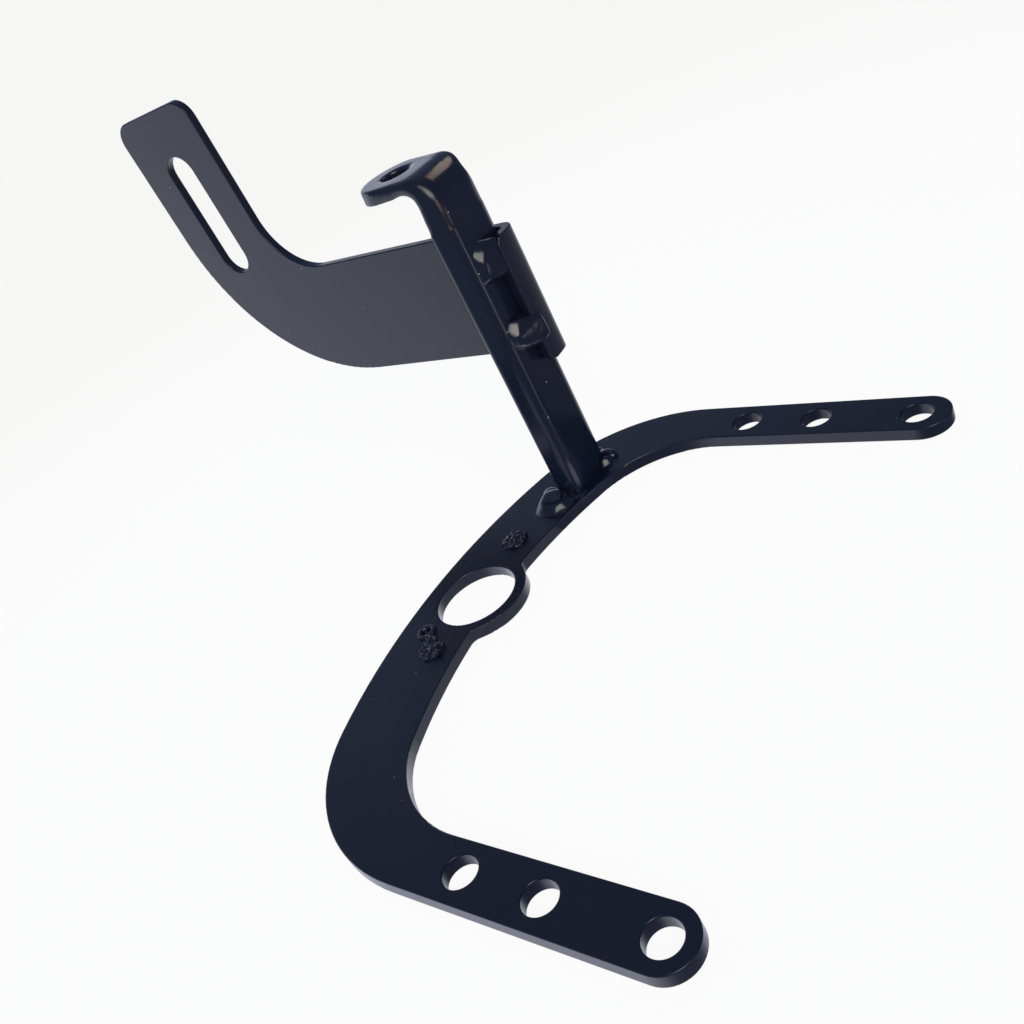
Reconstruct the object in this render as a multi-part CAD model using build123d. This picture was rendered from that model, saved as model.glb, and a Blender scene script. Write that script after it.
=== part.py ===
from build123d import *
import os
from math import atan2, degrees, sqrt

# Welded headlight bracket: a flat yoke, a pressed upright standing on it and a slotted arm.
# Millimetres. The origin is on the yoke's underside, on the axis of its large hole.
# +X runs along the yoke's prongs, +Y towards the upright and +Z up out of the plate.

# Cut edges of every piece
edge_r = 0.4                # rounding
seam_angle = 20.0           # degrees: two faces that turn more than this meet at an edge

# Yoke plate
plate_t = 4.0
lamp_hole_dia = 25.6
lobe_rim = 3.6              # metal left round the large hole
lobe_blend_r = 3.4          # fillet between the lobe and the inner edge
back_x = -18.5              # rearmost point of the back edge
back_r = 195.0              # radius of the back edge
back_w = 25.7               # width of the band across the back
prong_spacing = 168.0       # between the centre lines of the two prongs
prong_w = 16.0
outer_corner_r = 50.4
inner_corner_r = 33.6
bolt_dia = 9.0              # clearance for M8, in the prongs and in the tongue
first_bolt_x = 55.3
inner_pitch = 22.8          # first to second bolt hole
outer_pitch = 30.0          # second to third bolt hole, which the near prong's tip is round
far_tip_excess = 1.5        # that the far prong is longer than the near one

# Upright: a pressed strip, folded to a channel and bent back to a flat tongue
sheet_t = 3.0
upright_y = 58.45           # middle of the tongue, from the yoke's mirror line
front_x = 11.55             # front face of the channel
channel_w = 19.9
channel_shift = 1.0         # middle of the channel, from the tongue's away from the arm
channel_d = 7.6
fold_r = 0.8                # inner radius of the channel's two folds
free_edge_r = 0.8           # rounding of the channel's free edges
top_z = 114.2               # top face of the tongue
bend_r = 6.6                # inner radius of the bend into the tongue
tongue_w = 22.4
tongue_reach = 32.0         # channel's front face to the tongue's round end
tongue_hole_reach = 20.2    # channel's front face to the hole's axis
ear_r = 9.0                 # rounding of the tongue where it narrows over the bend
gusset_r = 5.0              # fillet between the channel's free edges and the tongue

# Slotted arm: a cut plate with a quarter turn, and a lip folded round the upright's far corner
arm_t = 3.0
strip_w = 41.8
root_z = 67.85              # middle of the strip
turn_r = 20.8               # inner radius of the turn
limb_reach = 122.6          # fold to the middle of the upturned limb, where the limb starts
limb_rise = 86.6            # middle of the strip to the limb's end
limb_lean = 1.1             # degrees that the limb leans out of square
limb_corner_r = 7.0
slot_w = 13.0
slot_length = 45.0          # end to end
slot_drop = 38.4            # limb's end to the middle of the slot
lip_fold_r = 1.2            # inner radius of the fold
lip_w = 12.0                # arm's outer face to the lip's free edge
lip_corner_r = 3.5

# Weld beads
foot_lump_r = 7.2           # blob beside the near wall's free edge
foot_lump_h = 4.8
foot_lump_out = 3.6         # its middle, out from the near wall
near_bead_r = 3.4           # bead along the foot of the near wall
near_bead_length = 5.0
far_bead_r = 4.4            # bead along the foot of the far wall
far_bead_length = 3.0
foot_bead_sink = 0.6        # axes of the two foot beads, inside the wall and below the plate's top
arm_bead_sink = 1.2         # axes of the two arm beads, behind the channel's front face
upper_bead_r = 5.2          # bead over the lip's free edge, near its top
upper_bead_length = 2.1
upper_bead_drop = 5.6       # its middle, below the lip's top
upper_bead_out = 3.1        # its middle, out from the lip's free edge
lower_bead_r = 5.6          # bead over the lip's free edge, near its bottom
lower_bead_length = 1.4
lower_bead_rise = 11.0      # its middle, above the lip's bottom
plug_r = 4.6                # rough weld spots on the yoke, beside its large hole
plug_h = 1.3
plug_tail_r = 3.9           # second lump of the near spot
far_plug_place = (-1.7, 25.2)
near_plug_place = (-7.2, -17.0)
near_plug_tail_place = (-1.2, -22.4)

# Places that several pieces share
channel_y = upright_y - channel_shift
near_wall_y = channel_y - channel_w/2
far_wall_y = channel_y + channel_w/2
free_edge_x = front_x - channel_d
fold_outer_r = fold_r + sheet_t
fold_x = front_x - fold_outer_r
bend_outer_r = bend_r + sheet_t
bend_x = front_x - bend_outer_r
bend_z = top_z - bend_outer_r
under_z = top_z - sheet_t
lip_edge_y = far_wall_y + arm_t - lip_w
lip_top_z = root_z + strip_w/2
lip_bottom_z = root_z - strip_w/2


def sharp_edges(solid):
    """Edges where two faces meet at a corner, without the seams between tangent faces."""
    found = ShapeList()
    for edge in solid.edges():
        normals = [face.normal_at(edge @ 0.5) for face in solid.faces() if edge in face.edges()]
        if normals[0].get_angle(normals[-1]) > seam_angle:
            found.append(edge)
    return found


def prong_outline(side_y, corner_r, edge_back_r, centre_x, tip_x):
    """Edges of one boundary of a half yoke, from the mirror line to the prong's tip."""
    corner_y = side_y - corner_r
    corner_x = centre_x - sqrt((edge_back_r - corner_r)**2 - corner_y**2)
    turn = degrees(atan2(corner_y, centre_x - corner_x))
    back = CenterArc((centre_x, 0), edge_back_r, 180, -turn)
    corner = CenterArc((corner_x, corner_y), corner_r, 180 - turn, turn - 90)
    straight = Line((corner_x, side_y), (tip_x, side_y))
    return [back, corner, straight]


def half_yoke(tip_x):
    """Outline of the yoke's +Y half, with a prong whose round tip is centred on tip_x."""
    prong_y = prong_spacing/2
    centre_x = back_x + back_r
    outer = prong_outline(prong_y + prong_w/2, outer_corner_r, back_r, centre_x, tip_x)
    inner = prong_outline(prong_y - prong_w/2, inner_corner_r, back_r - back_w, centre_x, tip_x)
    tip = CenterArc((tip_x, prong_y), prong_w/2, 90, -180)
    seam = Line((back_x, 0), (back_x + back_w, 0))
    return make_face(outer + [tip] + inner + [seam])


def make_yoke():
    lobe_r = lamp_hole_dia/2 + lobe_rim
    bolt_xs = (first_bolt_x, first_bolt_x + inner_pitch, first_bolt_x + inner_pitch + outer_pitch)
    near_half = mirror(half_yoke(bolt_xs[-1]), about=Plane.XZ)
    sketch = half_yoke(bolt_xs[-1] + far_tip_excess) + near_half + Circle(lobe_r)
    centre_x, inner_r = back_x + back_r, back_r - back_w
    neck_x = (lobe_r**2 - inner_r**2 + centre_x**2)/(2*centre_x)
    neck_y = sqrt(lobe_r**2 - neck_x**2)
    necks = [sketch.vertices().sort_by_distance((neck_x, side*neck_y))[0] for side in (-1, 1)]
    sketch = fillet(necks, lobe_blend_r)
    bolts = [Pos(x, side*prong_spacing/2) * Circle(bolt_dia/2) for x in bolt_xs for side in (-1, 1)]
    sketch -= [Circle(lamp_hole_dia/2)] + bolts
    plate = extrude(sketch, plate_t)
    return fillet(plate.edges().filter_by(Plane.XY), edge_r)


def upright_side(y):
    """Plane of a slice along the upright, with X across and Z up."""
    return Plane((0, y, 0), x_dir=(1, 0, 0), z_dir=(0, -1, 0))


def make_web():
    """The strip's front between its two folds, up to the bend and over it."""
    from_fold = (Align.MIN, Align.CENTER)
    outer = Pos(fold_x, channel_y) * Rectangle(fold_outer_r, channel_w, align=from_fold)
    outer = fillet(outer.vertices().group_by(Axis.X)[-1], fold_outer_r)
    inner = Pos(fold_x, channel_y) * Rectangle(fold_r, channel_w - 2*sheet_t, align=from_fold)
    inner = fillet(inner.vertices().group_by(Axis.X)[-1], fold_r)
    section = outer - inner
    straight = extrude(Pos(0, 0, plate_t) * section, bend_z - plate_t)
    bend_axis = Axis((bend_x, 0, bend_z), (0, -1, 0))
    return straight + revolve(Pos(0, 0, bend_z) * section, bend_axis, 90)


def make_wall(middle_y):
    """One side of the channel, from its fold to the free edge that curves out under the tongue."""
    seat_z = top_z - sheet_t/2
    gusset_x = free_edge_x - gusset_r
    free_edge = Line((free_edge_x, plate_t), (free_edge_x, under_z - gusset_r))
    curve = CenterArc((gusset_x, under_z - gusset_r), gusset_r, 0, 90)
    profile = make_face([
        free_edge,
        curve,
        Line((gusset_x, under_z), (gusset_x, seat_z)),
        Line((gusset_x, seat_z), (bend_x, seat_z)),
        Line((bend_x, seat_z), (bend_x, top_z - fold_outer_r)),
        CenterArc((bend_x, bend_z), bend_outer_r - fold_outer_r, 90, -90),
        Line((fold_x, bend_z), (fold_x, plate_t)),
        Line((fold_x, plate_t), (free_edge_x, plate_t)),
    ])
    wall = extrude(upright_side(middle_y) * profile, sheet_t/2, both=True)
    rims = [wall.edges().sort_by_distance((middle.X, middle_y + side*sheet_t/2, middle.Y))[0]
            for middle in (free_edge @ 0.5, curve @ 0.5) for side in (-1, 1)]
    return fillet(rims, free_edge_r)


def tongue_outline():
    """Plan outline of the tongue, with its round end and the corners that run over the bend."""
    half_w = tongue_w/2
    end_x = front_x - tongue_reach + half_w
    low_y, high_y = upright_y - half_w, upright_y + half_w
    nose_x = bend_x + ear_r
    return make_face([
        CenterArc((end_x, upright_y), half_w, 90, 180),
        Line((end_x, low_y), (bend_x, low_y)),
        CenterArc((bend_x, low_y + ear_r), ear_r, 270, 90),
        Line((nose_x, low_y + ear_r), (nose_x, high_y - ear_r)),
        CenterArc((bend_x, high_y - ear_r), ear_r, 0, 90),
        Line((bend_x, high_y), (end_x, high_y)),
    ])


def make_tongue():
    """The strip over its bend and out to the round end, with the bolt hole."""
    end_x = front_x - tongue_reach
    profile = make_face([
        CenterArc((bend_x, bend_z), bend_outer_r, 0, 90),
        Line((bend_x, top_z), (end_x, top_z)),
        Line((end_x, top_z), (end_x, under_z)),
        Line((end_x, under_z), (bend_x, under_z)),
        CenterArc((bend_x, bend_z), bend_r, 90, -90),
        Line((bend_x + bend_r, bend_z), (front_x, bend_z)),
    ])
    strip = extrude(upright_side(upright_y) * profile, tongue_w/2, both=True)
    hole = Pos(front_x - tongue_hole_reach, upright_y) * Circle(bolt_dia/2)
    tongue = strip & extrude(tongue_outline() - hole, top_z)
    top_rims = tongue.faces().sort_by(Axis.Z)[-1].edges().sort_by(Axis.X)[:-1]
    return fillet(top_rims, edge_r)


def make_upright():
    inset = sheet_t/2
    return make_tongue() + make_web() + make_wall(near_wall_y + inset) + make_wall(far_wall_y - inset)


def arm_blank():
    """Flat outline of the arm: along the strip from its fold, round the turn and up the limb."""
    half_w = strip_w/2
    strip_length = limb_reach - half_w - turn_r
    strip = Pos(-strip_length/2, 0) * Rectangle(strip_length, strip_w)
    outer = CenterArc((0, 0), turn_r + strip_w, 270, limb_lean - 90)
    inner = CenterArc((0, 0), turn_r, 270, limb_lean - 90)
    turn = make_face([outer, inner, Line(outer @ 0, inner @ 0), Line(outer @ 1, inner @ 1)])
    limb_length = limb_rise - half_w - turn_r
    limb = Pos(-turn_r - half_w, limb_length/2) * Rectangle(strip_w, limb_length)
    limb = fillet(limb.vertices().group_by(Axis.Y)[-1], limb_corner_r)
    slot = Pos(-turn_r - half_w, limb_length - slot_drop) * SlotOverall(slot_length, slot_w, rotation=90)
    lean = Rot(0, 0, limb_lean)
    return strip + Pos(-strip_length, half_w + turn_r) * (turn + lean*limb - lean*slot)


def arm_body():
    """The folded arm before its cut edges are rounded."""
    start_x, start_y = front_x - lip_fold_r, far_wall_y - lip_fold_r
    outer_r = lip_fold_r + arm_t
    root = Plane((start_x, far_wall_y, root_z), x_dir=(1, 0, 0), z_dir=(0, -1, 0))
    flat = extrude(root * arm_blank(), arm_t, dir=(0, 1, 0))
    fold = make_face([
        CenterArc((start_x, start_y), outer_r, 90, -90),
        Line((start_x + outer_r, start_y), (start_x + outer_r, lip_edge_y)),
        Line((start_x + outer_r, lip_edge_y), (front_x, lip_edge_y)),
        Line((front_x, lip_edge_y), (front_x, start_y)),
        CenterArc((start_x, start_y), lip_fold_r, 0, 90),
        Line((start_x, far_wall_y), (start_x, far_wall_y + arm_t)),
    ])
    lip = extrude(Pos(0, 0, lip_bottom_z) * fold, strip_w)
    lip = fillet(lip.edges().filter_by(Axis.X).group_by(Axis.Y)[0], lip_corner_r)
    return flat + lip


def lump(place, radius, height):
    """Domed blob of weld on the yoke's top face."""
    ball_r = (radius**2 + height**2)/(2*height)
    ball = Pos(*place, plate_t + height - ball_r) * Sphere(ball_r)
    return split(ball, bisect_by=Plane((0, 0, plate_t)), keep=Keep.TOP)


def bead(middle, along, length, radius):
    """Round-ended run of weld about an axis."""
    half = length/2
    profile = make_face([
        Line((0, -half - radius), (0, half + radius)),
        CenterArc((0, half), radius, 90, -90),
        Line((radius, half), (radius, -half)),
        CenterArc((0, -half), radius, 0, -90),
    ])
    return Plane(middle, z_dir=along) * revolve(Plane.XZ * profile, Axis.Z)


def foot_bead(wall_y, outward, length, radius):
    """Run of weld along the foot of one wall of the channel, on its outer side."""
    middle = ((free_edge_x + front_x)/2, wall_y - outward*foot_bead_sink, plate_t - foot_bead_sink)
    inside_wall = Plane((0, wall_y - outward*sheet_t/2, 0), z_dir=(0, outward, 0))
    run = split(bead(middle, (1, 0, 0), length, radius), bisect_by=inside_wall, keep=Keep.TOP)
    return split(run, bisect_by=Plane((0, 0, plate_t)), keep=Keep.TOP)


def arm_bead(middle_y, middle_z, length, radius, joined):
    """Run of weld on the front of the channel, over the lip's free edge and not behind the lip."""
    inside_web = Plane((front_x - sheet_t/2, 0, 0), z_dir=(1, 0, 0))
    run = bead((front_x - arm_bead_sink, middle_y, middle_z), (0, 0, 1), length, radius)
    run = split(run, bisect_by=inside_web, keep=Keep.TOP)
    return (run - joined).solids().sort_by(SortBy.VOLUME)[-1]


def make_welds(upright, arm):
    """The beads, cut back to the pieces that they join."""
    near_lump = lump((free_edge_x, near_wall_y - foot_lump_out), foot_lump_r, foot_lump_h)
    near_run = foot_bead(near_wall_y, -1, near_bead_length, near_bead_r)
    far_run = foot_bead(far_wall_y, 1, far_bead_length, far_bead_r)
    upper_y, upper_z = lip_edge_y - upper_bead_out, lip_top_z - upper_bead_drop
    lower_z = lip_bottom_z + lower_bead_rise
    joined = [upright, arm]
    near_tail = lump(near_plug_tail_place, plug_tail_r, plug_h)
    return {
        "near_foot_weld": near_lump + near_run - upright,
        "far_foot_weld": far_run - upright,
        "upper_arm_weld": arm_bead(upper_y, upper_z, upper_bead_length, upper_bead_r, joined),
        "lower_arm_weld": arm_bead(lip_edge_y, lower_z, lower_bead_length, lower_bead_r, joined),
        "near_plug_weld": lump(near_plug_place, plug_r, plug_h) + near_tail,
        "far_plug_weld": lump(far_plug_place, plug_r, plug_h),
    }


upright, arm = make_upright(), arm_body()
parts = {"yoke_plate": make_yoke(), "upright": upright, "slotted_arm": fillet(sharp_edges(arm), edge_r)}
parts |= make_welds(upright, arm)
os.makedirs("parts", exist_ok=True)
for node, solid in parts.items():
    export_step(solid, f"parts/{node}.step")
    print(node, round(solid.volume, 1), len(solid.solids()))
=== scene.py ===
from math import atan2, cos, pi, radians, sin
from random import Random

import bmesh
import bpy
from bpy.props import FloatProperty, FloatVectorProperty, IntProperty, PointerProperty
from mathutils import Matrix, Vector


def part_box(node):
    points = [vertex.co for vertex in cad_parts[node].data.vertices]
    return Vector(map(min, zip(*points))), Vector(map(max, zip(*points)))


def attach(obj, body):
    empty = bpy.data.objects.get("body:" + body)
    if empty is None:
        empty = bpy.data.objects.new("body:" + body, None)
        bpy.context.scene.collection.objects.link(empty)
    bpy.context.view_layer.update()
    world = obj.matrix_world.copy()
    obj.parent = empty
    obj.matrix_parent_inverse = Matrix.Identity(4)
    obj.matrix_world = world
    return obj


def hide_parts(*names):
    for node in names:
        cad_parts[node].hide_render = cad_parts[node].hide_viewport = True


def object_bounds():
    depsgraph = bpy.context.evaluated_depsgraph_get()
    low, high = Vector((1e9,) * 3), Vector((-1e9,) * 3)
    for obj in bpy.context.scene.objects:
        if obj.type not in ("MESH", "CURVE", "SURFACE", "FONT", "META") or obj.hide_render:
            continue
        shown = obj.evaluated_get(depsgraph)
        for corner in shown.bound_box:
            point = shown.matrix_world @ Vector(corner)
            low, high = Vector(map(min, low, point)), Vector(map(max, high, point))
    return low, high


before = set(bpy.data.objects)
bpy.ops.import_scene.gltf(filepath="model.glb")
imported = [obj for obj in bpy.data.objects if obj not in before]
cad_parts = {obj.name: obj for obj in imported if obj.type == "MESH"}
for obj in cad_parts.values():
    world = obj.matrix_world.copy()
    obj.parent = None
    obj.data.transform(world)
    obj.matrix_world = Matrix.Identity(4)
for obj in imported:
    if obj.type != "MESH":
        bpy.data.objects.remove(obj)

bl_info = {
    "name": "Headlight bracket",
    "version": (1, 0, 0),
    "blender": (4, 5, 0),
    "location": "3D View > Sidebar > Bracket",
    "description": "Paints a headlight bracket, models its upright, arm and welds and sets its studio",
    "category": "Object",
}

MM = 0.001
MERGE = 0.001*MM        # points closer than this are taken as one
FLOOR_GAP = 0.2*MM      # from the plate's underside down to the floor
SENSOR = 36.0           # width of the camera's sensor, in millimetres
CAD_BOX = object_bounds()

# Corners of the weld beads' blunt blocks, in millimetres from the bead's seat: round the block's foot, of
# the flat that its near end has, and over its crown
NEAR_FOOT_CORNERS = (
    (-7.5, -5.5, -1.0), (-7.5, 0.0, -1.0), (-5.0, 4.5, -1.0), (1.0, 6.0, -1.0), (6.0, 2.0, -1.0),
    (7.0, -2.5, -1.0), (-1.5, -8.5, -1.0), (-6.0, -7.5, -1.0),
    (6.0, -4.0, 0.0), (2.5, -8.0, 0.0), (2.5, -5.5, 3.0), (4.5, -3.0, 3.0),
    (-4.5, -3.5, 3.0), (-5.0, 0.5, 3.5), (-2.5, 2.5, 3.5), (2.0, 2.5, 3.5), (4.5, -1.0, 3.0),
    (-2.0, -5.5, 3.0),
)
FAR_FOOT_CORNERS = (
    (3.0, -7.5, -1.0), (5.5, -8.0, -1.0), (8.0, -5.0, -1.0), (7.5, -2.5, -1.0), (3.0, -2.0, -1.0),
    (5.0, -8.0, 0.0), (7.5, -5.0, 0.0), (6.5, -4.0, 2.5), (4.5, -6.5, 2.5),
    (4.0, -5.0, 3.0), (5.5, -3.5, 2.5),
)
UPPER_ARM_CORNERS = (
    (-1.0, -5.0, -4.5), (-1.0, -0.5, -6.5), (-1.0, 5.5, -7.0), (-1.0, 6.0, 6.5), (-1.0, -0.5, 8.0),
    (-1.0, -4.0, 5.5),
    (0.5, -4.0, 3.0), (0.5, -2.0, 5.5), (2.5, -0.5, 4.5), (2.5, -2.5, 2.0),
    (3.5, 5.5, 6.0), (4.0, 5.5, -4.5), (2.5, 0.5, -4.0), (2.0, -3.5, -3.0),
)
LOWER_ARM_CORNERS = (
    (-1.0, -8.0, 5.5), (-1.0, -8.0, -0.5), (-1.0, -4.5, -4.0), (-1.0, 0.5, -5.5), (-1.0, 6.0, -4.0),
    (-1.0, 6.5, 4.5), (-1.0, 1.5, 7.5), (-1.0, -5.0, 8.0),
    (0.0, -7.0, 6.0), (0.0, -5.5, 8.0), (2.5, -3.5, 7.0), (3.0, -6.5, 2.5), (1.0, -8.0, 3.0),
    (4.0, 0.0, 6.0), (6.0, 3.5, 4.5), (6.0, 4.0, -2.5), (4.5, 1.5, -3.5), (3.0, -4.5, -1.5),
    (2.0, -7.0, 0.0),
)

# Round lumps beside the blocks at the foot, in millimetres: the middle, from the bead's seat, and the reach
# each way
NEAR_FOOT_LUMPS = (((-5.2, 3.6, -0.4), (3.6, 3.0, 3.0)), ((4.2, 4.6, -0.8), (5.0, 3.4, 1.9)))
FAR_FOOT_LUMPS = (((3.4, -0.7, 0.0), (4.2, 2.4, 2.6)), ((-1.8, 0.9, 0.0), (3.6, 2.0, 2.4)))

# Places of the rough spots and of the crater beside the near one, in millimetres from the weld's seat
FAR_SPOT_PLACE = (0.9, -0.4, 0.0)
NEAR_SPOT_PLACE = (4.7, -4.4, 0.0)
SMALL_SPOT_PLACE = (1.2, -1.0, 0.0)
CRATER_PLACE = (-2.7, 2.1, 0.0)

# Patches of the room that the paint mirrors: azimuth to the right of straight ahead, elevation, reach and
# soft edge in degrees, and the light
ROOM_PATCHES = (
    (47.0, -11.0, 8.0, 14.0, (0.80, 0.80, 0.84)),
    (116.0, 12.0, 4.0, 6.0, (1.30, 1.32, 1.40)),
    (180.0, 56.0, 3.0, 22.0, (4.6, 4.7, 4.4)),
)

# Small lamps close to the bracket, in millimetres: the place, the point that each faces, the width and
# height, and the light
LAMPS = (
    ((10.5, 103.8, 153.0), (7.9, 62.3, 112.2), (30.0, 14.0), (2.60, 2.05, 1.65)),
    ((74.0, 14.0, 106.0), (8.5, 48.5, 109.0), (30.0, 40.0), (2.10, 1.40, 1.10)),
    ((30.0, 46.0, 0.4), (30.0, 46.0, 100.0), (17.0, 17.0), (1.10, 1.15, 1.30)),
    ((10.0, -18.0, 0.3), (10.0, -18.0, 100.0), (70.0, 105.0), (0.36, 0.36, 0.38)),
)


def length_property(name, description, default):
    """A size of the bracket or its stage, in metres."""
    return FloatProperty(name=name, description=description, default=default, subtype="DISTANCE",
                         unit="LENGTH")


def angle_property(name, description, default):
    """An angle, given in degrees."""
    return FloatProperty(name=name, description=description, default=radians(default), subtype="ANGLE",
                         unit="ROTATION")


def share_property(name, description, default):
    """A number from nought to one."""
    return FloatProperty(name=name, description=description, default=default, subtype="FACTOR",
                         min=0.0, max=1.0)


def number_property(name, description, default):
    """A plain number."""
    return FloatProperty(name=name, description=description, default=default)


def count_property(name, description, default):
    """A whole number above nought."""
    return IntProperty(name=name, description=description, default=default, min=1)


def colour_property(name, description, default):
    """A linear colour."""
    return FloatVectorProperty(name=name, description=description, default=default, subtype="COLOR",
                               min=0.0, soft_max=1.0)


def place_property(name, description, default):
    """A place in the bracket's frame."""
    return FloatVectorProperty(name=name, description=description, default=default, subtype="TRANSLATION",
                               unit="LENGTH")


def direction_property(name, description, default):
    """A direction."""
    return FloatVectorProperty(name=name, description=description, default=default, subtype="DIRECTION")


def span_property(name, description, default):
    """Two lengths."""
    return FloatVectorProperty(name=name, description=description, default=default, size=2, unit="LENGTH")


class PaintSettings(bpy.types.PropertyGroup):
    colour: colour_property("Paint", "Colour of the gloss paint", (0.0056, 0.0094, 0.0240))
    tint: colour_property("Paint tint", "Colour that soft patches drift to", (0.0078, 0.0098, 0.0190))
    gloss: share_property("Roughness", "Roughness of the paint on the cut sheets", 0.24)
    press_gloss: share_property("Pressed roughness", "Roughness on the pressed strip and the welds", 0.15)
    haze: share_property("Haze", "Roughness that soft patches add", 0.06)
    patch_scale: number_property("Patch scale", "Soft patches to the metre", 38.0)
    peel: length_property("Orange peel", "Height of the paint's fine ripple", 0.000010)
    peel_scale: number_property("Peel scale", "Fine ripples to the metre", 900.0)
    sheet_wave: length_property("Sheet wave", "Height of the slow waves in the cut sheets", 0.00006)
    press_wave: length_property("Press wave", "Height of the slow waves in the pressed strip", 0.00014)
    wave_scale: number_property("Wave scale", "Slow waves to the metre", 75.0)
    dust: colour_property("Dust", "Colour of the dust specks", (0.42, 0.41, 0.39))
    speck: length_property("Speck", "Radius of the largest dust specks", 0.00021)
    speck_scale: number_property("Speck scale", "Places for a speck to the metre", 260.0)
    crust: length_property("Weld crust", "Height of the fine grain on the rough spots", 0.00005)
    crust_scale: number_property("Crust scale", "Grains to the metre", 1100.0)


class UprightSettings(bpy.types.PropertyGroup):
    fold: span_property("Near fold", "Axis of the channel's near fold, in plan", (0.00775, 0.0513))
    splay: angle_property("Splay", "Angle that the near wall leans out of square", 21.0)
    deepen: share_property("Deepen", "Share of its depth that the splayed wall gains", 0.24)
    splay_top: length_property("Splay top", "Height up to which the wall has its whole splay", 0.101)
    square_from: length_property("Square from", "Height from which the wall is square", 0.1125)
    loops: count_property("Loops", "Cuts across the strip where the splay fades", 18)
    voxel: length_property("Cell", "Size of the cells that round the strip's edges", 0.00036)
    soften: count_property("Soften", "Rounds of smoothing of the whole strip", 12)
    flow: count_property("Flow", "Rounds in each step of smoothing where the wall runs into the tongue", 8)
    flow_steps: count_property("Flow steps", "Steps in which the smoothing at the tongue grows", 8)
    flow_back: share_property("Flow back", "Share of the strip's reach that stays, at the tongue", 0.3)
    flow_span: share_property("Flow span", "Share of the strip's reach over which the smoothing grows", 0.4)
    flow_from: length_property("Flow from", "Height from which the wall runs into the tongue", 0.098)
    flow_near: length_property("Flow near", "How far past the near fold's axis the smoothing goes", 0.001)
    flow_far: length_property("Flow far", "Place from which the bend's far end is smoothed", 0.062)
    sink: length_property("Sink", "How far the strip's foot reaches into the plate", 0.0012)
    sheet: length_property("Sheet", "Thickness of the strip", 0.003)
    bend: length_property("Bend", "Outer radius of the bend into the tongue", 0.0096)
    cheek: length_property("Cheek", "How far the bend's section runs on, from the tongue's middle", 0.0067)
    cheek_steps: count_property("Cheek steps", "Steps round the bend of the section that runs on", 24)
    rim: length_property("Rim", "How far the tongue's rim rolls down", 0.0014)
    rim_width: length_property("Rim width", "Width of the tongue's rolled rim", 0.0036)
    rim_from: length_property("Rim from", "Height below the tongue from which its rim rolls down", 0.006)


class ArmSettings(bpy.types.PropertyGroup):
    crown: length_property("Crown", "Height of the lip's crown", 0.0011)
    crown_at: share_property("Crown at", "Place of the crown, from the lip's edge to the arm's face", 0.20)
    loops: count_property("Loops", "Cuts across the lip's crown", 20)
    corner: angle_property("Corner", "Angle from which an edge is shaded as a corner", 35.0)


class WeldSettings(bpy.types.PropertyGroup):
    voxel: length_property("Cell", "Size of the cells that fuse the lumps of a bead", 0.00022)
    grain: length_property("Grain", "Height of the uneven grain of a bead", 0.00007)
    spot_grain: length_property("Spot grain", "Height of the uneven grain of a rough spot", 0.00016)
    grain_size: length_property("Grain size", "Width of the uneven grain of a bead", 0.0018)
    flow: count_property("Flow", "Rounds of smoothing that make a bead flow", 170)
    spot_flow: count_property("Spot flow", "Rounds of smoothing of the rough spots", 2)
    spot: length_property("Spot", "Radius of the far rough spot", 0.0046)
    near_spot: share_property("Near spot", "Radius of the near spot, as a share of the far one's", 0.92)
    small_spot: share_property("Small spot", "Radius of the small spot and the crater, in far spots", 0.5)
    spot_height: length_property("Spot height", "Height of the rough spots", 0.0011)
    spot_rise: share_property("Spot rise", "Share of the spots' height that a disc has", 0.7)
    spot_top: share_property("Spot top", "Radius of the disc's top, as a share of its foot's", 0.8)
    crumb: length_property("Crumb", "Radius of the crumbs on the rough spots", 0.00055)
    crumb_least: number_property("Least crumb", "Radius of the smallest crumbs, in plain crumbs", 0.6)
    crumb_most: number_property("Most crumb", "Radius of the largest crumbs, in plain crumbs", 1.2)
    crumb_reach: share_property("Crumb reach", "How far out crumbs lie, as a share of the radius", 0.85)
    crumbs: count_property("Crumbs", "Crumbs on the far spot", 60)
    seed: count_property("Seed", "Seed of the crumbs' places and sizes", 7)
    crater_lumps: count_property("Crater lumps", "Lumps round the crater", 14)
    crater_rim: number_property("Crater rim", "Width of the crater's rim, in crumbs", 1.6)
    crater_core: share_property("Crater core", "Height of the crumb in the crater, in spot heights", 0.8)


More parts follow.
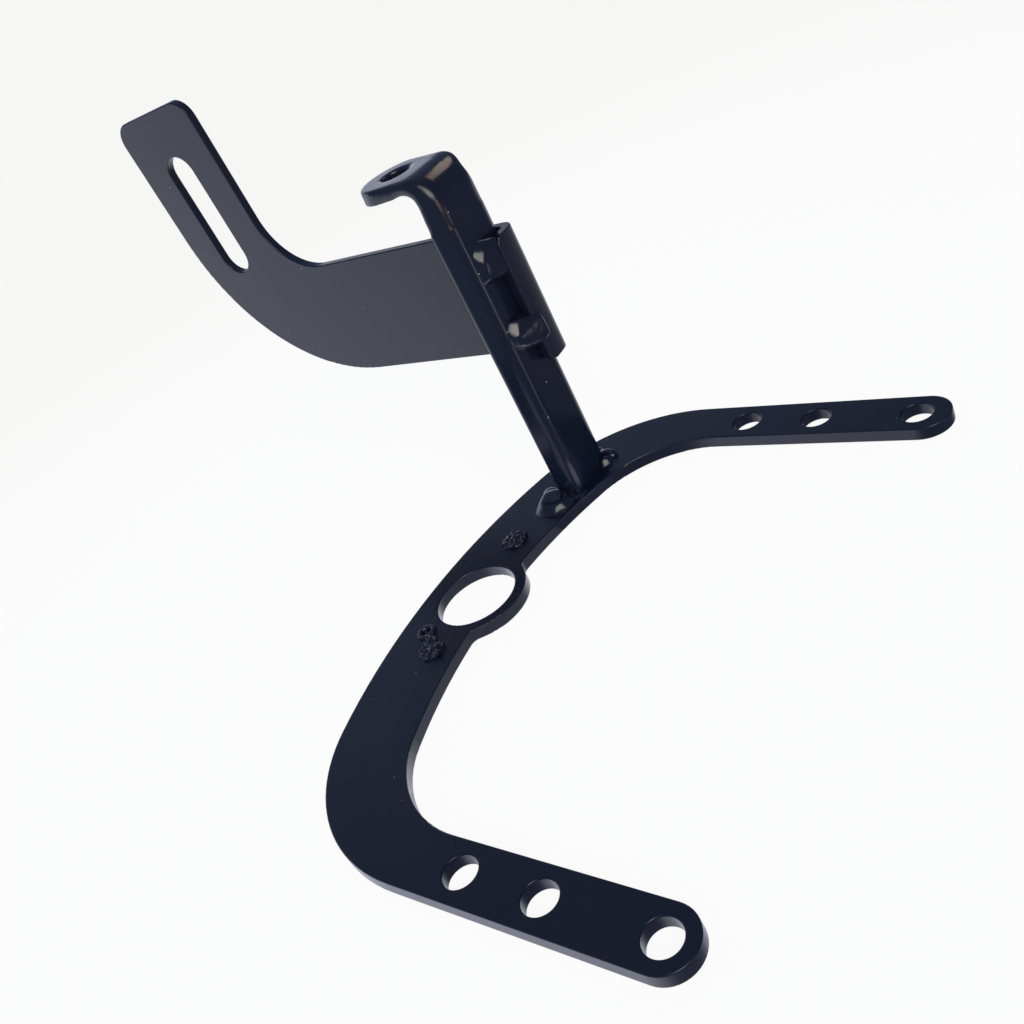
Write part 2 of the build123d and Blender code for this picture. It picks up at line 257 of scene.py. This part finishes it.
class StageSettings(bpy.types.PropertyGroup):
    floor_side: length_property("Floor side", "Side of the square floor", 6.0)
    floor_glow: colour_property("Floor glow", "Light that the floor gives off", (0.930, 0.928, 0.922))
    floor_far: colour_property("Far glow", "Light that the far floor gives off", (0.885, 0.878, 0.866))
    floor_colour: colour_property("Floor", "Colour of the floor", (0.10, 0.10, 0.10))
    floor_fade: span_property("Fade", "Distances over which the floor fades", (0.16, 0.75))
    backdrop: colour_property("Backdrop", "Colour of the backdrop", (0.927, 0.925, 0.915))
    camera_place: place_property("Camera", "Place of the camera", (0.2163, -0.1612, 0.1754))
    camera_aim: place_property("Aim", "Point in the middle of the view", (-0.0166, 0.0431, 0.0))
    camera_roll: angle_property("Roll", "Angle that the camera is tipped to the right", 28.45)
    camera_lens: FloatProperty(name="Lens", description="Focal length", default=37.17,
                               subtype="DISTANCE_CAMERA", unit="CAMERA")
    room_up: direction_property("Room up", "Up of the room that the paint mirrors", (0.5, 0.0, 0.866))
    horizon: direction_property("Horizon", "Up of the horizon: right, ahead and up", (0.15, -0.25, 1.0))
    horizon_start: number_property("Horizon start", "Sine of the height where the horizon starts", -0.57)
    horizon_end: number_property("Horizon end", "Sine of the height where the horizon ends", -0.26)
    below: colour_property("Below", "Light of the room below the horizon", (1.05, 1.08, 1.28))
    left: colour_property("Left", "Light of the room at the upper left", (0.150, 0.195, 0.310))
    right: colour_property("Right", "Light of the room at the upper right", (0.10, 0.11, 0.17))
    side_blend: share_property("Side blend", "Sine of the turn over which left runs into right", 0.4)


def add_sockets(group, side, **kinds):
    """Named sockets on a node group's interface."""
    for name, kind in kinds.items():
        group.interface.new_socket(name=name, in_out=side, socket_type="NodeSocket" + kind)


def node(tree, kind, **values):
    """A node with its properties set, and its inputs where the name is one of theirs."""
    made = tree.nodes.new(kind)
    for name, value in values.items():
        if name in made.inputs:
            made.inputs[name].default_value = value
        else:
            setattr(made, name, value)
    return made


def paint_skin(paint):
    """Node group: soft patches of colour and haze, slow waves and the fine ripple of sprayed paint."""
    if "Paint skin" in bpy.data.node_groups:
        return bpy.data.node_groups["Paint skin"]
    group = bpy.data.node_groups.new("Paint skin", "ShaderNodeTree")
    add_sockets(group, "INPUT", Colour="Color", Tint="Color", Roughness="Float", Haze="Float")
    add_sockets(group, "OUTPUT", Colour="Color", Roughness="Float", Ripple="Float", Wave="Float")
    given, out = node(group, "NodeGroupInput"), node(group, "NodeGroupOutput")
    place = node(group, "ShaderNodeTexCoord")
    patches = node(group, "ShaderNodeTexNoise", Scale=paint.patch_scale, Detail=3.0, Roughness=0.55)
    soft = node(group, "ShaderNodeMapRange", **{"From Min": 0.35, "From Max": 0.70})
    mixed = node(group, "ShaderNodeMix", data_type="RGBA")
    rougher = node(group, "ShaderNodeMath", operation="MULTIPLY_ADD")
    ripple = node(group, "ShaderNodeTexNoise", Scale=paint.peel_scale, Detail=1.5, Roughness=0.5)
    wave = node(group, "ShaderNodeTexNoise", Scale=paint.wave_scale, Detail=1.0, Roughness=0.4)
    link = group.links.new
    link(place.outputs["Object"], patches.inputs["Vector"])
    link(place.outputs["Object"], ripple.inputs["Vector"])
    link(place.outputs["Object"], wave.inputs["Vector"])
    link(patches.outputs["Fac"], soft.inputs["Value"])
    link(soft.outputs["Result"], mixed.inputs["Factor"])
    link(given.outputs["Colour"], mixed.inputs["A"])
    link(given.outputs["Tint"], mixed.inputs["B"])
    link(soft.outputs["Result"], rougher.inputs[0])
    link(given.outputs["Haze"], rougher.inputs[1])
    link(given.outputs["Roughness"], rougher.inputs[2])
    link(mixed.outputs["Result"], out.inputs["Colour"])
    link(rougher.outputs["Value"], out.inputs["Roughness"])
    link(ripple.outputs["Fac"], out.inputs["Ripple"])
    link(wave.outputs["Fac"], out.inputs["Wave"])
    return group


def dust_specks():
    """Node group: scattered specks of dust, as a mask."""
    if "Dust specks" in bpy.data.node_groups:
        return bpy.data.node_groups["Dust specks"]
    group = bpy.data.node_groups.new("Dust specks", "ShaderNodeTree")
    add_sockets(group, "INPUT", Cells="Float", Radius="Float")
    add_sockets(group, "OUTPUT", Mask="Float")
    given, out = node(group, "NodeGroupInput"), node(group, "NodeGroupOutput")
    place = node(group, "ShaderNodeTexCoord")
    cells = node(group, "ShaderNodeTexVoronoi", feature="F1")
    few = node(group, "ShaderNodeSeparateColor")
    chosen = node(group, "ShaderNodeMapRange", **{"From Min": 0.55, "From Max": 1.0})
    reach = node(group, "ShaderNodeMath", operation="MULTIPLY")
    inside = node(group, "ShaderNodeMath", operation="LESS_THAN")
    link = group.links.new
    link(place.outputs["Object"], cells.inputs["Vector"])
    link(given.outputs["Cells"], cells.inputs["Scale"])
    link(cells.outputs["Color"], few.inputs["Color"])
    link(few.outputs["Red"], chosen.inputs["Value"])
    link(chosen.outputs["Result"], reach.inputs[0])
    link(given.outputs["Radius"], reach.inputs[1])
    link(cells.outputs["Distance"], inside.inputs[0])
    link(reach.outputs["Value"], inside.inputs[1])
    link(inside.outputs["Value"], out.inputs["Mask"])
    return group


def paint_material(name, paint, gloss, wave_height, crust=0.0):
    """Gloss black paint with dust specks over slow waves, and over fine grain where there is a crust."""
    if name in bpy.data.materials:
        return bpy.data.materials[name]
    material = bpy.data.materials.new(name)
    material.use_nodes = True
    tree = material.node_tree
    link = tree.links.new
    shader = tree.nodes["Principled BSDF"]
    shader.inputs["IOR"].default_value = 1.5
    shader.inputs["Specular IOR Level"].default_value = 0.5
    skin = node(tree, "ShaderNodeGroup", node_tree=paint_skin(paint))
    skin.inputs["Colour"].default_value = (*paint.colour, 1.0)
    skin.inputs["Tint"].default_value = (*paint.tint, 1.0)
    skin.inputs["Roughness"].default_value = gloss
    skin.inputs["Haze"].default_value = paint.haze
    specks = node(tree, "ShaderNodeGroup", node_tree=dust_specks())
    specks.inputs["Cells"].default_value = paint.speck_scale
    specks.inputs["Radius"].default_value = paint.speck*paint.speck_scale
    dusted = node(tree, "ShaderNodeMix", data_type="RGBA")
    dusted.inputs["B"].default_value = (*paint.dust, 1.0)
    wave = node(tree, "ShaderNodeBump", Strength=1.0, Distance=wave_height)
    ripple = node(tree, "ShaderNodeBump", Strength=1.0, Distance=paint.peel)
    link(specks.outputs["Mask"], dusted.inputs["Factor"])
    link(skin.outputs["Colour"], dusted.inputs["A"])
    link(dusted.outputs["Result"], shader.inputs["Base Color"])
    link(skin.outputs["Roughness"], shader.inputs["Roughness"])
    link(skin.outputs["Wave"], wave.inputs["Height"])
    link(wave.outputs["Normal"], ripple.inputs["Normal"])
    link(skin.outputs["Ripple"], ripple.inputs["Height"])
    link(ripple.outputs["Normal"], shader.inputs["Normal"])
    if crust:
        place = node(tree, "ShaderNodeTexCoord")
        grain = node(tree, "ShaderNodeTexNoise", Scale=paint.crust_scale, Detail=3.0, Roughness=0.6)
        rough = node(tree, "ShaderNodeBump", Strength=1.0, Distance=crust)
        link(place.outputs["Object"], grain.inputs["Vector"])
        link(grain.outputs["Fac"], rough.inputs["Height"])
        link(rough.outputs["Normal"], wave.inputs["Normal"])
    return material


def sheet_paint(context):
    """Paint of the two cut sheets."""
    paint = context.scene.bracket_paint
    return paint_material("Gloss paint on cut sheet", paint, paint.gloss, paint.sheet_wave)


def press_paint(context):
    """Paint of the pressed upright, which is smoother and wavier."""
    paint = context.scene.bracket_paint
    return paint_material("Gloss paint on pressed strip", paint, paint.press_gloss, paint.press_wave)


def weld_paint(context):
    """Paint of the beads."""
    paint = context.scene.bracket_paint
    return paint_material("Gloss paint over weld", paint, paint.press_gloss, paint.sheet_wave)


def spot_paint(context):
    """Paint of the rough spots."""
    paint = context.scene.bracket_paint
    return paint_material("Gloss paint over rough weld", paint, paint.press_gloss, paint.sheet_wave,
                          paint.crust)


def within(value):
    """A number held between nought and one."""
    return min(max(value, 0.0), 1.0)


def eased(value):
    """A number from nought to one that starts and stops softly."""
    return value*value*(3.0 - 2.0*value)


def add_piece(context, name, shape, material, cad_node):
    """Turn a shape into a piece that stands for a node of the solid model."""
    mesh = bpy.data.meshes.new(name)
    shape.to_mesh(mesh)
    shape.free()
    mesh.materials.append(material)
    piece = bpy.data.objects.new(name, mesh)
    context.collection.objects.link(piece)
    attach(piece, "root")
    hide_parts(cad_node)
    return piece


def copied_node(cad_node):
    """Shape of a node of the solid model, with its loose triangles joined."""
    shape = bmesh.new()
    shape.from_mesh(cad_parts[cad_node].data)
    bmesh.ops.remove_doubles(shape, verts=shape.verts, dist=MERGE)
    return shape


def cut_across(shape, start, end, cuts, axis):
    """Cut a shape by evenly spaced planes, so that it can bend between them."""
    for cut in range(cuts + 1):
        geom = shape.verts[:] + shape.edges[:] + shape.faces[:]
        place = axis*(start + (end - start)*cut/cuts)
        bmesh.ops.bisect_plane(shape, geom=geom, dist=MERGE, plane_co=place, plane_no=axis)


def shade_smooth(shape, corner):
    """Smooth shading, but for edges that turn by a corner's angle or more."""
    for edge in shape.edges:
        edge.smooth = edge.calc_face_angle(pi) < corner
    for face in shape.faces:
        face.smooth = True


def remeshed(context, shape, voxel):
    """A shape rebuilt from even cells. The one given is freed."""
    mesh = bpy.data.meshes.new("rebuilding")
    shape.to_mesh(mesh)
    shape.free()
    rough = bpy.data.objects.new("rebuilding", mesh)
    context.collection.objects.link(rough)
    melt = rough.modifiers.new("Melt", "REMESH")
    melt.mode = "VOXEL"
    melt.voxel_size = voxel
    rebuilt = bmesh.new()
    rebuilt.from_object(rough, context.evaluated_depsgraph_get())
    bpy.data.objects.remove(rough)
    bpy.data.meshes.remove(mesh)
    return rebuilt


def smooth_out(shape, verts, rounds):
    """Let points settle towards their neighbours."""
    for _ in range(rounds):
        bmesh.ops.smooth_vert(shape, verts=verts, factor=0.5, use_axis_x=True, use_axis_y=True,
                              use_axis_z=True)


class BRACKET_OT_yoke(bpy.types.Operator):
    """Paint the yoke plate"""
    bl_idname = "bracket.yoke"
    bl_label = "Paint the yoke"

    def execute(self, context):
        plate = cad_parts["yoke_plate"].data
        plate.materials.clear()
        plate.materials.append(sheet_paint(context))
        return {"FINISHED"}


class BRACKET_OT_upright(bpy.types.Operator):
    """Model the pressed upright with its near wall leaning out and running softly into the tongue"""
    bl_idname = "bracket.upright"
    bl_label = "Press the upright"

    def execute(self, context):
        form = context.scene.bracket_upright
        low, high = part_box("upright")
        shape = copied_node("upright")
        cut_across(shape, form.splay_top, form.square_from, form.loops, Vector((0.0, 0.0, 1.0)))
        for vert in shape.verts:
            self.lean_out(vert.co, form)
            if vert.co.z < low.z + MERGE:
                vert.co.z -= form.sink
        self.add_cheek(shape, form, low, high)
        shape = remeshed(context, shape, form.voxel)
        smooth_out(shape, shape.verts, form.soften)
        for step in range(form.flow_steps):
            back = low.x + (high.x - low.x)*(form.flow_back + form.flow_span*step/form.flow_steps)
            running = [vert for vert in shape.verts if vert.co.x > back and self.runs_out(vert.co, form)]
            smooth_out(shape, running, form.flow)
        for vert in shape.verts:
            self.roll_down(vert.co, form, low, high)
        for face in shape.faces:
            face.smooth = True
        add_piece(context, "pressed_upright", shape, press_paint(context), "upright")
        return {"FINISHED"}

    def lean_out(self, place, form):
        """Turn a point of the near fold or wall out about the fold's axis."""
        arm = Vector((place.x - form.fold[0], place.y - form.fold[1]))
        if arm.y >= 0.0:
            return
        fade = eased(within((form.square_from - place.z)/(form.square_from - form.splay_top)))
        turn = form.splay*fade
        if arm.x > 0.0:
            turn *= atan2(-arm.y, arm.x)/(pi/2)
        else:
            arm.x *= 1.0 + form.deepen*fade
        arm.rotate(Matrix.Rotation(turn, 2))
        place.x, place.y = form.fold[0] + arm.x, form.fold[1] + arm.y

    def add_cheek(self, shape, form, low, high):
        """Run the bend's whole section on to the far wall."""
        centre = Vector((high.x - form.bend, (low.y + high.y)/2, high.z - form.bend))
        inside = form.bend - form.sheet
        section = ((form.bend, 0.0), (form.bend, form.cheek), (inside, form.cheek), (inside, 0.0))
        corners = [shape.verts.new(centre + Vector((out, side, 0.0))) for out, side in section]
        face = shape.faces.new(corners)
        bmesh.ops.spin(shape, geom=[*corners, *face.edges, face], cent=centre, axis=(0.0, -1.0, 0.0),
                       angle=pi/2, steps=form.cheek_steps)
        bmesh.ops.recalc_face_normals(shape, faces=shape.faces)

    def runs_out(self, place, form):
        """Whether a point is where the near wall, or the far end of the bend, runs into the tongue."""
        between = form.fold[1] + form.flow_near < place.y < form.flow_far
        return place.z > form.flow_from and not between

    def roll_down(self, place, form, low, high):
        """Roll the tongue's rim down."""
        half = (high.y - low.y)/2
        away = Vector((min(place.x - low.x - half, 0.0), place.y - (low.y + high.y)/2))
        outward = 1.0 - within((half - away.length)/form.rim_width)
        behind = within((high.x - form.bend/2 - place.x)/form.bend)
        deep = within((high.z - place.z)/form.sheet)
        lift = within((place.z - high.z + form.sheet + form.rim_from)/form.rim_from)
        place.z -= form.rim*eased(outward)*behind*deep*lift


class BRACKET_OT_arm(bpy.types.Operator):
    """Model the slotted arm with the soft crown of its lip"""
    bl_idname = "bracket.arm"
    bl_label = "Fold the arm"

    def execute(self, context):
        form = context.scene.bracket_arm
        low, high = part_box("slotted_arm")
        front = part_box("upright")[1].x
        shape = copied_node("slotted_arm")
        cut_across(shape, low.y, high.y, form.loops, Vector((0.0, 1.0, 0.0)))
        for vert in shape.verts:
            if vert.co.x > front:
                across = (vert.co.y - low.y)/(high.y - low.y)
                fall = max(across - form.crown_at, 0.0)/(1.0 - form.crown_at)
                vert.co.x += form.crown*(1.0 - fall*fall)
        shade_smooth(shape, form.corner)
        piece = add_piece(context, "folded_arm", shape, sheet_paint(context), "slotted_arm")
        piece.modifiers.new("Even shading", "WEIGHTED_NORMAL").keep_sharp = True
        return {"FINISHED"}


def add_lump(shape, place, reach):
    """Blob of weld metal, as an ellipsoid."""
    matrix = Matrix.Translation(place) @ Matrix.Diagonal((*reach, 1.0))
    bmesh.ops.create_icosphere(shape, subdivisions=3, radius=1.0, matrix=matrix)


def add_lumps(shape, seat, lumps):
    """Blobs placed from a bead's seat, in millimetres."""
    for middle, reach in lumps:
        add_lump(shape, seat + Vector(middle)*MM, Vector(reach)*MM)


def add_block(shape, seat, corners):
    """Blunt block of weld metal between its corners, which are placed from a bead's seat in millimetres."""
    verts = [shape.verts.new(seat + Vector(corner)*MM) for corner in corners]
    hull = bmesh.ops.convex_hull(shape, input=verts)
    loose = {part for part in hull["geom_interior"] + hull["geom_unused"] if part in verts}
    bmesh.ops.delete(shape, geom=list(loose), context="VERTS")


def add_disc(shape, place, foot, top, height):
    """Low blob with a flat top on the plate."""
    bmesh.ops.create_cone(shape, cap_ends=True, segments=48, radius1=foot, radius2=top, depth=height,
                          matrix=Matrix.Translation(place + Vector((0.0, 0.0, height/2))))


def weld_grain(weld):
    """Soft clouds that make a bead uneven."""
    if "Weld grain" not in bpy.data.textures:
        clouds = bpy.data.textures.new("Weld grain", "CLOUDS")
        clouds.noise_scale = weld.grain_size
        clouds.noise_depth = 2
    return bpy.data.textures["Weld grain"]


def fuse(context, name, shape, cad_node, material, flow, grain):
    """Melt the blobs of a weld into one piece with an uneven grain."""
    weld = context.scene.bracket_weld
    piece = add_piece(context, name, shape, material, cad_node)
    melt = piece.modifiers.new("Melt", "REMESH")
    melt.mode = "VOXEL"
    melt.voxel_size = weld.voxel
    melt.use_smooth_shade = True
    soften = piece.modifiers.new("Flow", "SMOOTH")
    soften.factor = 0.5
    soften.iterations = flow
    uneven = piece.modifiers.new("Grain", "DISPLACE")
    uneven.texture = weld_grain(weld)
    uneven.texture_coords = "LOCAL"
    uneven.strength = grain


def plate_seat(cad_node):
    """Middle of a weld's footprint on the yoke plate."""
    low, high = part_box(cad_node)
    return Vector(((low.x + high.x)/2, (low.y + high.y)/2, low.z))


def web_seat(cad_node):
    """Middle of a weld's footprint on the front of the upright."""
    low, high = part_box(cad_node)
    return Vector((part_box("upright")[1].x, (low.y + high.y)/2, (low.z + high.z)/2))


class BRACKET_OT_foot_welds(bpy.types.Operator):
    """Model the two beads at the upright's foot"""
    bl_idname = "bracket.foot_welds"
    bl_label = "Weld the foot"

    def execute(self, context):
        weld = context.scene.bracket_weld
        for side, corners, lumps in (("near", NEAR_FOOT_CORNERS, NEAR_FOOT_LUMPS),
                                     ("far", FAR_FOOT_CORNERS, FAR_FOOT_LUMPS)):
            cad_node = side + "_foot_weld"
            shape = bmesh.new()
            add_block(shape, plate_seat(cad_node), corners)
            add_lumps(shape, plate_seat(cad_node), lumps)
            fuse(context, side + "_foot_bead", shape, cad_node, weld_paint(context), weld.flow, weld.grain)
        return {"FINISHED"}


class BRACKET_OT_arm_welds(bpy.types.Operator):
    """Model the two beads over the edge of the arm's lip"""
    bl_idname = "bracket.arm_welds"
    bl_label = "Weld the arm"

    def execute(self, context):
        weld = context.scene.bracket_weld
        for level, corners in (("upper", UPPER_ARM_CORNERS), ("lower", LOWER_ARM_CORNERS)):
            cad_node = level + "_arm_weld"
            shape = bmesh.new()
            add_block(shape, web_seat(cad_node), corners)
            fuse(context, level + "_arm_bead", shape, cad_node, weld_paint(context), weld.flow, weld.grain)
        return {"FINISHED"}


class BRACKET_OT_plug_welds(bpy.types.Operator):
    """Model the rough weld spots beside the large hole"""
    bl_idname = "bracket.plug_welds"
    bl_label = "Weld the rough spots"

    def execute(self, context):
        weld = context.scene.bracket_weld
        draws = Random(weld.seed)
        far, near = bmesh.new(), bmesh.new()
        far_seat, near_seat = plate_seat("far_plug_weld"), plate_seat("near_plug_weld")
        small = weld.spot*weld.small_spot
        self.add_spot(far, far_seat + Vector(FAR_SPOT_PLACE)*MM, weld.spot, weld, draws)
        self.add_spot(near, near_seat + Vector(NEAR_SPOT_PLACE)*MM, weld.spot*weld.near_spot, weld, draws)
        self.add_spot(near, near_seat + Vector(SMALL_SPOT_PLACE)*MM, small, weld, draws)
        self.add_crater(near, near_seat + Vector(CRATER_PLACE)*MM, small, weld)
        for side, shape in (("far", far), ("near", near)):
            fuse(context, side + "_plug_spot", shape, side + "_plug_weld", spot_paint(context),
                 weld.spot_flow, weld.spot_grain)
        return {"FINISHED"}

    def add_spot(self, shape, place, radius, weld, draws):
        """Low disc with crumbs of metal on it."""
        rise = weld.spot_height*weld.spot_rise
        add_disc(shape, place, radius, radius*weld.spot_top, rise)
        for _ in range(int(weld.crumbs*(radius/weld.spot)**2)):
            angle = draws.uniform(0.0, 2*pi)
            out = radius*weld.crumb_reach*draws.random()**0.5
            size = weld.crumb*draws.uniform(weld.crumb_least, weld.crumb_most)
            add_lump(shape, place + Vector((out*cos(angle), out*sin(angle), rise)), (size, size, size))

    def add_crater(self, shape, place, radius, weld):
        """Ring of metal round a crumb."""
        wide = weld.crumb*weld.crater_rim
        for stop in range(weld.crater_lumps):
            angle = 2*pi*stop/weld.crater_lumps
            out = Vector((radius*cos(angle), radius*sin(angle), 0.0))
            add_lump(shape, place + out, (wide, wide, weld.spot_height))
        add_lump(shape, place, (weld.crumb, weld.crumb, weld.spot_height*weld.crater_core))


def camera_axes(stage):
    """Directions to the right of the camera and back from what it looks at."""
    back = (Vector(stage.camera_place) - Vector(stage.camera_aim)).normalized()
    level = Vector((0.0, 0.0, 1.0)).cross(back).normalized()
    return Matrix.Rotation(-stage.camera_roll, 3, back) @ level, back


class BRACKET_OT_stage(bpy.types.Operator):
    """Lay the floor and set the room's light and the camera"""
    bl_idname = "bracket.stage"
    bl_label = "Set the stage"

    def execute(self, context):
        stage = context.scene.bracket_stage
        self.lay_floor(context, stage)
        self.light_room(context, stage)
        self.hang_lamps(context)
        self.set_camera(context, stage)
        return {"FINISHED"}

    def lay_floor(self, context, stage):
        """Lay a pale floor that gives off soft light and isn't mirrored."""
        shape = bmesh.new()
        bmesh.ops.create_grid(shape, x_segments=1, y_segments=1, size=stage.floor_side/2)
        bmesh.ops.translate(shape, verts=shape.verts, vec=(0.0, 0.0, CAD_BOX[0].z - FLOOR_GAP))
        mesh = bpy.data.meshes.new("floor")
        shape.to_mesh(mesh)
        shape.free()
        floor = bpy.data.objects.new("floor", mesh)
        context.collection.objects.link(floor)
        floor.visible_glossy = False
        material = bpy.data.materials.new("Pale floor")
        material.use_nodes = True
        shader = material.node_tree.nodes["Principled BSDF"]
        shader.inputs["Base Color"].default_value = (*stage.floor_colour, 1.0)
        shader.inputs["Roughness"].default_value = 1.0
        shader.inputs["Specular IOR Level"].default_value = 0.0
        shader.inputs["Emission Strength"].default_value = 1.0
        self.fade_out(material.node_tree, stage)
        mesh.materials.append(material)

    def fade_out(self, tree, stage):
        """Let the floor's glow fade with the distance from the bracket."""
        away = node(tree, "ShaderNodeVectorMath", operation="LENGTH")
        fade = node(tree, "ShaderNodeMapRange", interpolation_type="SMOOTHSTEP",
                    **{"From Min": stage.floor_fade[0], "From Max": stage.floor_fade[1]})
        tree.links.new(node(tree, "ShaderNodeTexCoord").outputs["Object"], away.inputs[0])
        tree.links.new(away.outputs["Value"], fade.inputs["Value"])
        glow = self.mix(tree, fade.outputs["Result"], stage.floor_glow, stage.floor_far)
        tree.links.new(glow, tree.nodes["Principled BSDF"].inputs["Emission Color"])

    def light_room(self, context, stage):
        """A pale backdrop for the camera, and a room of soft patches for the paint to mirror."""
        world = bpy.data.worlds.new("Studio")
        context.scene.world = world
        world.use_nodes = True
        tree = world.node_tree
        link = tree.links.new
        up = Vector(stage.room_up).normalized()
        right = camera_axes(stage)[0]
        right = (right - right.dot(up)*up).normalized()
        ahead = up.cross(right)
        way = node(tree, "ShaderNodeTexCoord").outputs["Generated"]
        sideways = self.ramp(tree, way, right, -stage.side_blend, stage.side_blend)
        upper = self.mix(tree, sideways, stage.left, stage.right)
        tilt = Vector(stage.horizon)
        skyward = (tilt.x*right + tilt.y*ahead + tilt.z*up).normalized()
        above = self.ramp(tree, way, skyward, stage.horizon_start, stage.horizon_end)
        light = self.mix(tree, above, stage.below, upper)
        for azimuth, elevation, reach, edge, patch in ROOM_PATCHES:
            level, turn = radians(elevation), radians(azimuth)
            towards = cos(level)*(sin(turn)*right + cos(turn)*ahead) + sin(level)*up
            inside = self.ramp(tree, way, towards, cos(radians(reach + edge)), cos(radians(reach)))
            light = self.mix(tree, inside, light, patch)
        room = tree.nodes["Background"]
        link(light, room.inputs["Color"])
        backdrop = node(tree, "ShaderNodeBackground", Color=(*stage.backdrop, 1.0))
        seen = node(tree, "ShaderNodeLightPath")
        either = node(tree, "ShaderNodeMixShader")
        link(seen.outputs["Is Camera Ray"], either.inputs["Fac"])
        link(room.outputs["Background"], either.inputs[1])
        link(backdrop.outputs["Background"], either.inputs[2])
        link(either.outputs["Shader"], tree.nodes["World Output"].inputs["Surface"])
        context.scene.view_settings.view_transform = "Standard"

    def ramp(self, tree, way, towards, start, end):
        """Mask that grows from nought to one as a direction turns towards another."""
        along = node(tree, "ShaderNodeVectorMath", operation="DOT_PRODUCT")
        along.inputs[1].default_value = towards
        soft = node(tree, "ShaderNodeMapRange", interpolation_type="SMOOTHSTEP",
                    **{"From Min": start, "From Max": end})
        tree.links.new(way, along.inputs[0])
        tree.links.new(along.outputs["Value"], soft.inputs["Value"])
        return soft.outputs["Result"]

    def mix(self, tree, mask, first, second):
        """Two colours, or the colours of two sockets, mixed by a mask."""
        mixed = node(tree, "ShaderNodeMix", data_type="RGBA")
        tree.links.new(mask, mixed.inputs["Factor"])
        for name, given in (("A", first), ("B", second)):
            if isinstance(given, bpy.types.NodeSocket):
                tree.links.new(given, mixed.inputs[name])
            else:
                mixed.inputs[name].default_value = (*given, 1.0)
        return mixed.outputs["Result"]

    def hang_lamps(self, context):
        """Hang small lamps for the paint to mirror, hidden from the camera."""
        for place, target, (width, height), light in LAMPS:
            data = bpy.data.lights.new("lamp", "AREA")
            data.shape = "ELLIPSE"
            data.size, data.size_y = width*MM, height*MM
            brightest, area = max(light), pi/4*width*height*MM*MM
            data.color = [part/brightest for part in light]
            data.energy = brightest*pi*area
            lamp = bpy.data.objects.new("lamp", data)
            context.collection.objects.link(lamp)
            lamp.visible_camera = False
            towards = Vector(target) - Vector(place)
            turn = towards.to_track_quat("-Z", "Y").to_matrix().to_4x4()
            lamp.matrix_world = Matrix.Translation(Vector(place)*MM) @ turn

    def set_camera(self, context, stage):
        """Set the camera at the photograph's viewing angle."""
        camera = bpy.data.objects.new("camera", bpy.data.cameras.new("camera"))
        context.collection.objects.link(camera)
        right, back = camera_axes(stage)
        turn = Matrix((right, back.cross(right), back)).transposed()
        camera.matrix_world = Matrix.Translation(stage.camera_place) @ turn.to_4x4()
        camera.data.lens = stage.camera_lens
        camera.data.sensor_width = SENSOR
        camera.data.clip_start = 10.0*MM
        context.scene.camera = camera


class BRACKET_PT_panel(bpy.types.Panel):
    """Sizes, finishes and makers of the headlight bracket"""
    bl_idname = "BRACKET_PT_panel"
    bl_label = "Headlight bracket"
    bl_space_type = "VIEW_3D"
    bl_region_type = "UI"
    bl_category = "Bracket"

    def draw(self, context):
        for name, kind in SETTINGS.items():
            box = self.layout.box()
            for value in kind.__annotations__:
                box.prop(getattr(context.scene, name), value)
        for operator in OPERATORS:
            self.layout.operator(operator.bl_idname)


SETTINGS = {
    "bracket_paint": PaintSettings, "bracket_upright": UprightSettings, "bracket_arm": ArmSettings,
    "bracket_weld": WeldSettings, "bracket_stage": StageSettings,
}
OPERATORS = (
    BRACKET_OT_yoke, BRACKET_OT_upright, BRACKET_OT_arm, BRACKET_OT_foot_welds, BRACKET_OT_arm_welds,
    BRACKET_OT_plug_welds, BRACKET_OT_stage,
)


def register():
    for made in (*SETTINGS.values(), *OPERATORS, BRACKET_PT_panel):
        bpy.utils.register_class(made)
    for name, settings in SETTINGS.items():
        setattr(bpy.types.Scene, name, PointerProperty(type=settings))


def unregister():
    for name in SETTINGS:
        delattr(bpy.types.Scene, name)
    for made in (BRACKET_PT_panel, *reversed(OPERATORS), *reversed(SETTINGS.values())):
        bpy.utils.unregister_class(made)


def main():
    register()
    bpy.ops.bracket.yoke()
    bpy.ops.bracket.upright()
    bpy.ops.bracket.arm()
    bpy.ops.bracket.foot_welds()
    bpy.ops.bracket.arm_welds()
    bpy.ops.bracket.plug_welds()
    bpy.ops.bracket.stage()


if __name__ == "__main__":
    main()
